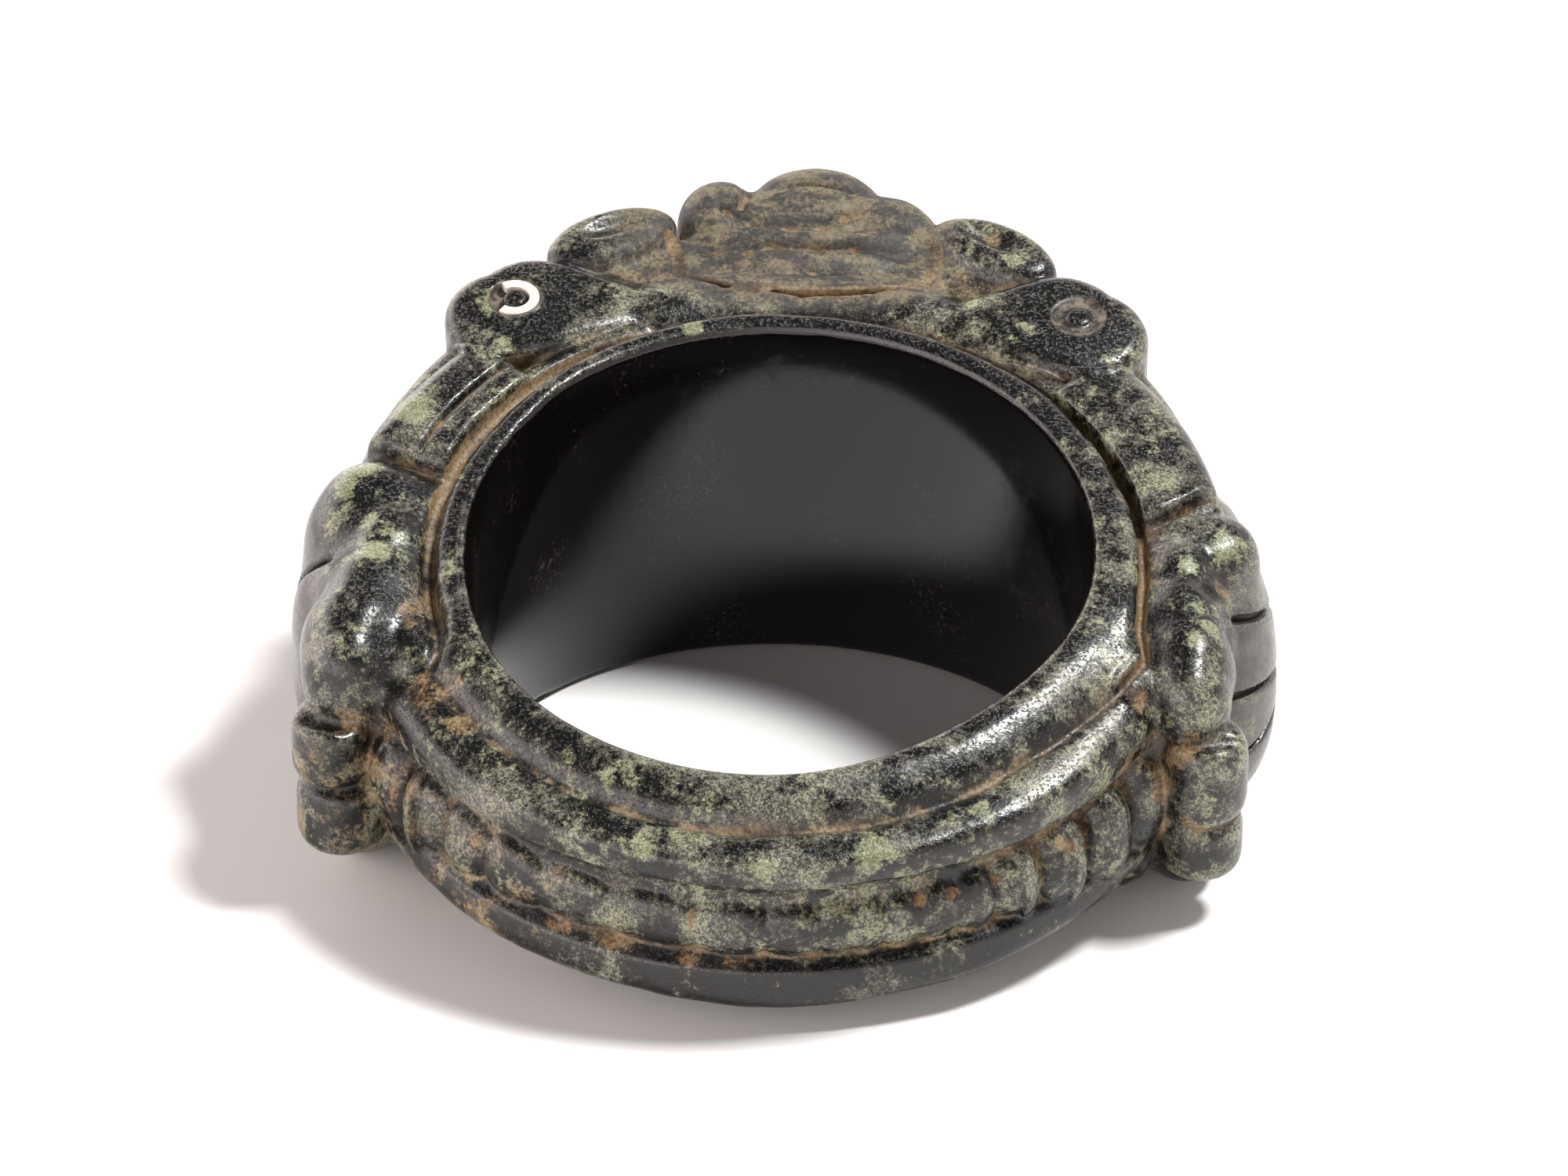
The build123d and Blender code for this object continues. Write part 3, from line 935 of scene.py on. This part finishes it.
# What the painted zones are worked out from: each corner's place, its distance from the hole's axis,
# and its height over the nearer face and place out along it
points = ring_points(ring)
x, y, z = points.T
reach = np.hypot(x, y)
over_face = over_faces(y, z)
out_face = y * COS + (np.abs(z) - HALF_HEIGHT) * SIN


def paint(name, values):
    """Keep a zone on the mesh, from 0 to 1, for its material."""
    attribute = ring.data.attributes.new(name, "FLOAT", "POINT")
    attribute.data.foreach_set("value", np.clip(values, 0, 1).astype(np.float32))


def step_up(values, low, high):
    """A smooth step from 0 to 1 while the values go from low to high."""
    t = np.clip((values - low) / (high - low), 0, 1)
    return t * t * (3 - 2 * t)


def stone_round(width):
    """How much more than half of the space round each corner is stone, in a box of that many millimetres."""
    solid = (stone.values < 0).astype(np.float32)
    return sample(stone, blurred(solid, int(width / GRID_STEP)), points) - 0.5


def closeness(spots, room):
    """1 at the middle of the nearest spot, falling to 0 at its size times the room."""
    found = np.zeros(len(points))
    for place in spots:
        gap = np.linalg.norm(points - np.array(place[:3]), axis=1)
        found = np.maximum(found, 1 - gap / (room * place.size))
    return found


def streaks():
    """1 along the middle of the nearest streak of rust, falling to 0 at twice its half sizes."""
    around = bearing(x, y - ROWS_SHIFT)
    found = np.zeros(len(points))
    for streak in RUST:
        turned = (around - streak.angle) / (2 * streak.half_turn)
        gap = np.hypot(turned, (z - streak.z) / (2 * streak.half_width))
        found = np.maximum(found, 1 - gap)
    return found * step_up(reach, 12.3, 12.6)


def wing_walls():
    """The polished outer walls of the wings, whose grey is partly a painted sheen."""
    turn = bearing(np.abs(x), y)
    wall = step_up(reach, 14.25, 14.7) * step_up(4.3 - np.abs(z), 0, 0.4)
    return wall * step_up(17 - turn, 0, 4) * step_up(turn, -16, -12)


def seams():
    """The feather lines' dark bottoms."""
    found = np.zeros(len(points))
    for side, across in ((RIGHT, x), (LEFT, -x)):
        on_wing = step_up(0.2 - wing(side).distance(across, y, z), 0, 0.15) * (across > 0)
        on_wing = on_wing * step_up(reach, WING_WALL, WING_WALL + 0.2)
        for feather in side.feathers:
            found = np.maximum(found, step_up(0.17 - off_feather(feather, across, y, z), 0, 0.1) * on_wing)
    return found


def washed_crown():
    """The boss and the sill, which are washed out to olive and slate."""
    start = 11.1 + 0.4 * np.maximum(np.abs(x) - 2.5, 0)
    sides = np.where(x < 0, step_up(7.0 + x, 0, 2.0), step_up(5.3 - x, 0, 0.9))
    return step_up(y - start, 0, 0.8) * sides * step_up(over_face, -3.2, -1.4)


def filled_grooves():
    """Earth in the groove round the rim, most of it beside the crown, and round the boss's foot."""
    outer, width, depth = rim_sizes(x, y)
    off_groove = np.abs(reach - outer - width / 2) - width / 2
    beside_crown = np.where(x < 0, step_up(y, 0.5, 4.5), step_up(y, -7.0, -1.0))
    round_rim = step_up(0.16 - off_groove, 0, 0.2) * step_up(-over_face, 0.3 * depth, 0.6 * depth)
    round_rim = round_rim * (0.45 + 0.55 * beside_crown)
    foot_gap = np.full(len(points), FAR)
    for a, b in zip(BOSS_FOOT, BOSS_FOOT[1:]):
        stretch = straight_roll((*a, 0), (*b, 0), (0, 0), facing=False)
        foot_gap = np.minimum(foot_gap, stretch.distance(x, out_face, 0))
    return np.maximum(round_rim, 0.75 * step_up(0.42 - foot_gap, 0, 0.3) * step_up(over_face, -1.6, -0.9))


def bare_stone_and_shade():
    """Where the mottling thins out, on the rim beside the crown and on the heads, and painted shade that
    blackens the foot of the shank.
    """
    in_rim = np.maximum(step_up(y, 5.0, 9.0), 0.7 * (x < 0) * step_up(y, -4.5, 0.5))
    in_rim = step_up(rim_sizes(x, y)[0] + 0.1 - reach, 0, 0.15) * in_rim
    # Painted shade: the lower half at the front of the shank is made black
    under = step_up(-1.0 - z, 0, 0.5) * step_up(-7.0 - y, 0, 2.0)
    head_gap = np.hypot(np.abs(x) - HEAD_SPOT[0], y - HEAD_SPOT[1])
    on_head = step_up(2.7 - head_gap, 0, 1.2) * step_up(over_face, -1.6, -1.0)
    return np.maximum(np.maximum(in_rim, under), 0.85 * on_head)


nearby = stone_round(0.45)
soiled = step_up(-x, 3.0, 8.0) * step_up(-y, 2.0, 5.0) * step_up(1.9 - z, 0, 0.5)
eye_gap = np.hypot(np.abs(x) - EYE_SPOT[0], out_face - EYE_SPOT[1])
on_top = step_up(over_face, -0.7, -0.5)
paint("hollow", step_up(nearby, 0.03, 0.22))
paint("edge", step_up(-nearby, 0.06, 0.2))
paint("deep", step_up(stone_round(1.5), -0.05, 0.2))
paint("bore", step_up(hole_reach(x, y, z) + 0.1 - reach, 0, 0.08))
paint("patch", closeness(PATCHES, 1.6))
paint("earth", np.maximum(closeness(PALE_EARTH, 1.5), 0.4 * soiled))
paint("rust", streaks())
paint("facet", wing_walls())
paint("seam", seams())
paint("crown", washed_crown())
paint("groove", filled_grooves())
paint("bare_and_shade", bare_stone_and_shade())
paint("eye", step_up(0.95 - eye_gap, 0, 0.12) * on_top)
paint("pupil", step_up(np.where(x < 0, LEFT.pupil, RIGHT.pupil) - eye_gap, 0, 0.1) * on_top)


def node(tree, kind, **values):
    """A new node, with its inputs or its settings by name."""
    made = tree.nodes.new(kind)
    for key, value in values.items():
        if key in made.inputs:
            made.inputs[key].default_value = value
        else:
            setattr(made, key, value)
    return made


def map_range(tree, low, high, start, end):
    """A smooth step from start to end while its value goes from low to high."""
    made = node(tree, "ShaderNodeMapRange", interpolation_type="SMOOTHSTEP")
    for name, number in (("From Min", low), ("From Max", high), ("To Min", start), ("To Max", end)):
        made.inputs[name].default_value = number
    return made


class Mixer:
    """Short ways to build a material's nodes."""

    def __init__(self, name):
        self.material = bpy.data.materials.new(name)
        self.material.use_nodes = True
        self.tree = self.material.node_tree
        self.tree.nodes.clear()
        self.shader = node(self.tree, "ShaderNodeBsdfPrincipled")
        out = node(self.tree, "ShaderNodeOutputMaterial")
        self.tree.links.new(self.shader.outputs[0], out.inputs[0])
        place = node(self.tree, "ShaderNodeTexCoord")
        scale = node(self.tree, "ShaderNodeVectorMath", operation="SCALE")
        scale.inputs["Scale"].default_value = 1 / MM
        self.tree.links.new(place.outputs["Object"], scale.inputs[0])
        self.place = scale.outputs[0]

    def plug(self, value, socket):
        if isinstance(value, (int, float, tuple)):
            socket.default_value = value
        else:
            self.tree.links.new(value, socket)

    def noise(self, scale, detail, rough=0.5, twist=0.0, stretch=None):
        made = node(self.tree, "ShaderNodeTexNoise", Scale=scale, Detail=detail, Roughness=rough)
        made.inputs["Distortion"].default_value = twist
        place = self.place
        if stretch:
            turned = node(self.tree, "ShaderNodeVectorMath", operation="MULTIPLY")
            turned.inputs[1].default_value = stretch
            self.plug(self.place, turned.inputs[0])
            place = turned.outputs[0]
        self.plug(place, made.inputs["Vector"])
        return made.outputs[0]

    def painted(self, name):
        made = node(self.tree, "ShaderNodeAttribute", attribute_name=name)
        return made.outputs["Fac"]

    def math(self, operation, a, b, clamp=False):
        made = node(self.tree, "ShaderNodeMath", operation=operation, use_clamp=clamp)
        self.plug(a, made.inputs[0])
        self.plug(b, made.inputs[1])
        return made.outputs[0]

    def times(self, a, b):
        return self.math("MULTIPLY", a, b)

    def plus(self, a, b):
        return self.math("ADD", a, b)

    def most(self, a, b):
        return self.math("MAXIMUM", a, b)

    def less(self, value, zone, share=1.0):
        return self.math("SUBTRACT", value, self.times(zone, share))

    def shifted(self, value, *noises):
        """The value, moved up and down by noises, each with its share."""
        for source, share in noises:
            value = self.plus(value, self.times(self.math("SUBTRACT", source, 0.5), share))
        return value

    def ramp(self, value, low, high, start=0.0, end=1.0):
        made = map_range(self.tree, low, high, start, end)
        self.plug(value, made.inputs["Value"])
        return made.outputs[0]

    def mix(self, share, a, b):
        made = node(self.tree, "ShaderNodeMix", data_type="RGBA")
        self.plug(share, made.inputs[0])
        for value, socket in ((a, made.inputs[6]), (b, made.inputs[7])):
            self.plug((*value, 1.0) if isinstance(value, tuple) else value, socket)
        return made.outputs[2]

    def bump(self, height, distance, strength, under=None):
        made = node(self.tree, "ShaderNodeBump", Strength=strength, Distance=distance)
        self.plug(height, made.inputs["Height"])
        if under is not None:
            self.plug(under, made.inputs["Normal"])
        return made.outputs[0]


def stone_material():
    """Black-green polished stone with grey-green mottling and earth left in its grooves."""
    m = Mixer("mottled_stone")
    grain = m.noise(7.0, 4.0, 0.75)
    speck = m.noise(15.0, 2.0, 0.6)
    mottle = m.noise(1.0, 5.0, 0.62, 0.15)
    second = m.noise(0.7, 5.0, 0.62, 0.2)
    cloud = m.noise(0.28, 3.0)
    middling = m.noise(2.7, 3.0, 0.6)
    hollow, deep, edge, bare_and_shade = (m.painted(name) for name in ("hollow", "deep", "edge", "bare_and_shade"))
    patch, earth, rust, groove = (m.painted(name) for name in ("patch", "earth", "rust", "groove"))
    bore, crown_zone, facet, seam = (m.painted(name) for name in ("bore", "crown", "facet", "seam"))
    eye, pupil = m.painted("eye"), m.painted("pupil")

    # Mottling of the whole stone, and the wings' grey polish, which is partly a painted sheen
    light = m.ramp(m.shifted(speck, (grain, 0.7), (second, 0.5)), 0.34, 0.78)
    black = m.mix(m.ramp(grain, 0.45, 0.8), (0.003, 0.003, 0.003), (0.016, 0.016, 0.015))
    haze = m.shifted(mottle, (cloud, 0.7), (grain, 0.3), (second, 0.3), (middling, 0.45))
    # Less haze where the stone is bare, and at the foot of the shank as painted shade
    haze = m.less(m.plus(haze, m.times(edge, 0.12)), bare_and_shade, 0.16)
    grey = m.mix(light, (0.032, 0.033, 0.025), (0.3, 0.295, 0.215))
    color = m.mix(m.times(m.ramp(haze, 0.42, 0.68), m.ramp(grain, 0.25, 0.6, 0.55, 1.0)), black, grey)
    green = m.mix(light, (0.045, 0.05, 0.024), (0.33, 0.35, 0.21))
    greens = m.less(m.shifted(second, (grain, 0.35), (middling, 0.5)), bare_and_shade, 0.12)
    color = m.mix(m.ramp(greens, 0.54, 0.7, 0, 0.8), color, green)
    bright_green = m.mix(light, (0.11, 0.125, 0.06), (0.36, 0.38, 0.24))
    color = m.mix(m.ramp(m.shifted(patch, (mottle, 1.7), (grain, 0.7)), 0.36, 0.62), color, bright_green)
    # Painted sheen in part: the wing walls get a smooth plum-grey in place of the mottling
    polish_and_sheen = m.mix(m.ramp(mottle, 0.3, 0.7), (0.05, 0.046, 0.044), (0.1, 0.094, 0.09))
    color = m.mix(m.times(facet, m.ramp(haze, 0.7, 0.5, 0.45, 0.95)), color, polish_and_sheen)

    # The washed-out crown
    streaky = m.noise(0.9, 4.0, 0.6, 0.1, (0.55, 1.5, 1.5))
    blotch = m.ramp(m.shifted(streaky, (mottle, 0.5), (grain, 0.35), (middling, 0.3)), 0.4, 0.62)
    olive = m.mix(m.ramp(grain, 0.3, 0.72), (0.085, 0.07, 0.042), (0.205, 0.172, 0.108))
    slate = m.mix(m.ramp(grain, 0.3, 0.75), (0.013, 0.0125, 0.0115), (0.058, 0.054, 0.047))
    washed = m.times(crown_zone, m.ramp(cloud, 0.3, 0.5, 0.7, 0.97))
    color = m.mix(washed, color, m.mix(blotch, slate, olive))

    # Earth: dust in broad hollows, stain in narrow ones, then the painted zones
    tan = m.mix(m.ramp(grain, 0.3, 0.72), (0.11, 0.07, 0.032), (0.34, 0.245, 0.13))
    brown = m.mix(m.ramp(grain, 0.3, 0.7), (0.016, 0.011, 0.007), (0.1, 0.068, 0.038))
    orange = m.mix(m.ramp(grain, 0.3, 0.72), (0.1, 0.046, 0.015), (0.34, 0.19, 0.075))
    tone = m.mix(m.ramp(second, 0.40, 0.52), orange, tan)
    dust = m.less(m.shifted(m.times(deep, 0.75), (mottle, 1.5), (cloud, 1.2)), facet, 0.6)
    dust = m.less(dust, crown_zone, 0.25)
    stain = m.less(m.shifted(m.times(hollow, 0.8), (mottle, 1.6), (cloud, 1.2)), facet, 0.4)
    crown_stain = m.shifted(m.times(hollow, crown_zone), (mottle, 1.3))
    earthy = m.shifted(earth, (mottle, 1.9), (grain, 0.8))
    in_groove = m.shifted(groove, (mottle, 1.5))
    rusty = m.shifted(rust, (mottle, 1.8), (grain, 0.9))
    patchy = m.shifted(cloud, (mottle, 0.7))
    for zone, low, high, most, source, start, end, one, other in (
        (dust, 0.42, 0.95, 0.8, second, 0.4, 0.6, brown, tan),
        (stain, 0.45, 0.85, 0.9, second, 0.4, 0.6, brown, tone),
        (crown_stain, 0.5, 1.0, 0.8, second, 0.36, 0.5, brown, tone),
        (earthy, 0.35, 0.8, 0.9, second, 0.38, 0.5, brown, tone),
        (in_groove, 0.3, 0.75, 0.95, patchy, 0.5, 0.66, tan, brown),
        (rusty, 0.42, 0.8, 0.9, second, 0.45, 0.6, orange, tone),
    ):
        earth_color = m.mix(m.ramp(source, start, end), one, other)
        color = m.mix(m.ramp(zone, low, high, 0, most), color, earth_color)
    color = m.mix(m.times(seam, 0.9), color, (0.014, 0.009, 0.006))

    # Eyes and the hole
    ring_fill = m.mix(m.ramp(middling, 0.4, 0.6), (0.03, 0.022, 0.016), (0.2, 0.165, 0.125))
    color = m.mix(m.times(eye, m.ramp(mottle, 0.35, 0.6, 0.5, 0.95)), color, ring_fill)
    color = m.mix(pupil, color, (0.004, 0.004, 0.004))
    flecks = m.ramp(m.times(grain, m.plus(cloud, 0.5)), 0.6, 0.8)
    color = m.mix(bore, color, m.mix(flecks, (0.003, 0.0024, 0.0024), (0.055, 0.048, 0.044)))
    m.plug(color, m.shader.inputs["Base Color"])

    # Polish: dull where earth lies, and smooth in the hole
    dusty = m.most(m.most(groove, rust), m.times(hollow, 0.8))
    dusty = m.most(dusty, m.times(crown_zone, 0.5))
    rough = m.plus(m.ramp(haze, 0.4, 0.7, 0.22, 0.36), m.times(dusty, 0.35))
    rough = m.plus(rough, m.times(m.most(m.times(crown_zone, 0.6), m.less(eye, pupil)), 0.3))
    rough = m.math("SUBTRACT", rough, m.times(bore, 0.12), clamp=True)
    m.plug(rough, m.shader.inputs["Roughness"])
    m.shader.inputs["IOR"].default_value = 1.55
    calm = m.less(1.0, bore, 0.98)
    pits = m.times(m.ramp(m.noise(9.0, 3.0, 0.7), 0.25, 0.5), calm)
    waves = m.times(m.noise(3.2, 4.0, 0.55), calm)
    m.plug(m.bump(pits, 0.013 * MM, 0.9, m.bump(waves, 0.026 * MM, 0.8)), m.shader.inputs["Normal"])
    return m.material


def inlay_material():
    """Worn white inlay."""
    m = Mixer("white_inlay")
    grain = m.noise(9.0, 4.0, 0.6)
    stain = m.noise(1.8, 3.0)
    color = m.mix(m.ramp(grain, 0.3, 0.75), (0.62, 0.55, 0.48), (0.88, 0.85, 0.80))
    color = m.mix(m.times(m.ramp(stain, 0.55, 0.75), 0.6), color, (0.42, 0.28, 0.18))
    m.plug(color, m.shader.inputs["Base Color"])
    m.plug(m.ramp(grain, 0.2, 0.8, 0.35, 0.6), m.shader.inputs["Roughness"])
    m.plug(m.bump(grain, 0.02 * MM, 0.8), m.shader.inputs["Normal"])
    return m.material


def floor_material():
    """A pale matt floor."""
    m = Mixer("pale_floor")
    color = m.mix(m.noise(0.02, 2.0), (0.90, 0.895, 0.89), (0.93, 0.925, 0.92))
    m.plug(color, m.shader.inputs["Base Color"])
    m.shader.inputs["Roughness"].default_value = 0.7
    return m.material


ring.data.materials.clear()
ring.data.materials.append(stone_material())
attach(ring, "root")
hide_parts("ring_body")

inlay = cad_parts["eye_inlay"]
inlay.data.materials.clear()
inlay.data.materials.append(inlay_material())

# Floor, in metres
FLOOR_HALF = 1.5
bottom = cad_box[0].z
floor_mesh = bpy.data.meshes.new("floor")
floor_corners = [(a * FLOOR_HALF, b * FLOOR_HALF, bottom) for a, b in ((-1, -1), (1, -1), (1, 1), (-1, 1))]
floor_mesh.from_pydata(floor_corners, [], [(0, 1, 2, 3)])
floor = placed("floor", floor_mesh)
floor_mesh.materials.append(floor_material())

# Camera, from its place over the ring's own frame
ELEVATION, AZIMUTH = math.radians(37.0), math.radians(3.4)
CAMERA_FAR, FOCAL_PIXELS = 350.0, 13965.0
MIDDLE_PIXEL = (989.3, 866.0)
IMAGE = (2000, 1500)
level = math.cos(ELEVATION)
back = Vector((math.sin(AZIMUTH) * level, -math.cos(AZIMUTH) * level, math.sin(ELEVATION)))
right = Vector((math.cos(AZIMUTH), math.sin(AZIMUTH), 0))
up = back.cross(right)
aside = (IMAGE[0] / 2 - MIDDLE_PIXEL[0]) * CAMERA_FAR / FOCAL_PIXELS
above = (MIDDLE_PIXEL[1] - IMAGE[1] / 2) * CAMERA_FAR / FOCAL_PIXELS
view = Matrix((right, up, back)).transposed().to_4x4()
view.translation = (right * aside + up * above + back * CAMERA_FAR) * MM
camera = placed("camera", bpy.data.cameras.new("camera"))
camera.data.sensor_fit = "HORIZONTAL"
camera.data.sensor_width = 36.0
camera.data.lens = camera.data.sensor_width * FOCAL_PIXELS / IMAGE[0]
camera.data.clip_start = 0.01
camera.matrix_world = REST @ view
bpy.context.scene.camera = camera


def studio():
    """A studio: bright low down at the left, dimmer at the right, and dark overhead."""
    world = bpy.data.worlds.new("studio")
    world.use_nodes = True
    tree = world.node_tree
    background = tree.nodes["Background"]
    way = node(tree, "ShaderNodeTexCoord").outputs["Generated"]
    parts = node(tree, "ShaderNodeSeparateXYZ")
    fill = node(tree, "ShaderNodeVectorMath", operation="DOT_PRODUCT")
    fill.inputs[1].default_value = (-0.95, 0.08, 0.0)
    overhead = map_range(tree, 0.33, 0.66, 1.0, 0.03)
    sideways = map_range(tree, -0.6, 0.5, 0.9, 3.8)
    shade = node(tree, "ShaderNodeMath", operation="MULTIPLY")
    for start, end in (
        (way, parts.inputs[0]),
        (way, fill.inputs[0]),
        (parts.outputs["Z"], overhead.inputs["Value"]),
        (fill.outputs["Value"], sideways.inputs["Value"]),
        (overhead.outputs[0], shade.inputs[0]),
        (sideways.outputs[0], shade.inputs[1]),
        (shade.outputs[0], background.inputs["Strength"]),
    ):
        tree.links.new(start, end)
    background.inputs["Color"].default_value = (1.0, 0.915, 0.895, 1)
    return world


# The key light: a square softbox that faces the ring
key = placed("key", bpy.data.lights.new("key", "AREA"))
key.data.size = 0.095
key.data.energy = 3.3
key.data.color = (1.0, 0.99, 0.975)
toward = Vector((0.437, 0.085, 0.87)).normalized()
key.location = toward * 0.5
key.rotation_mode = "QUATERNION"
key.rotation_quaternion = toward.to_track_quat("Z", "Y")
bpy.context.scene.world = studio()
bpy.context.scene.view_settings.view_transform = "Standard"
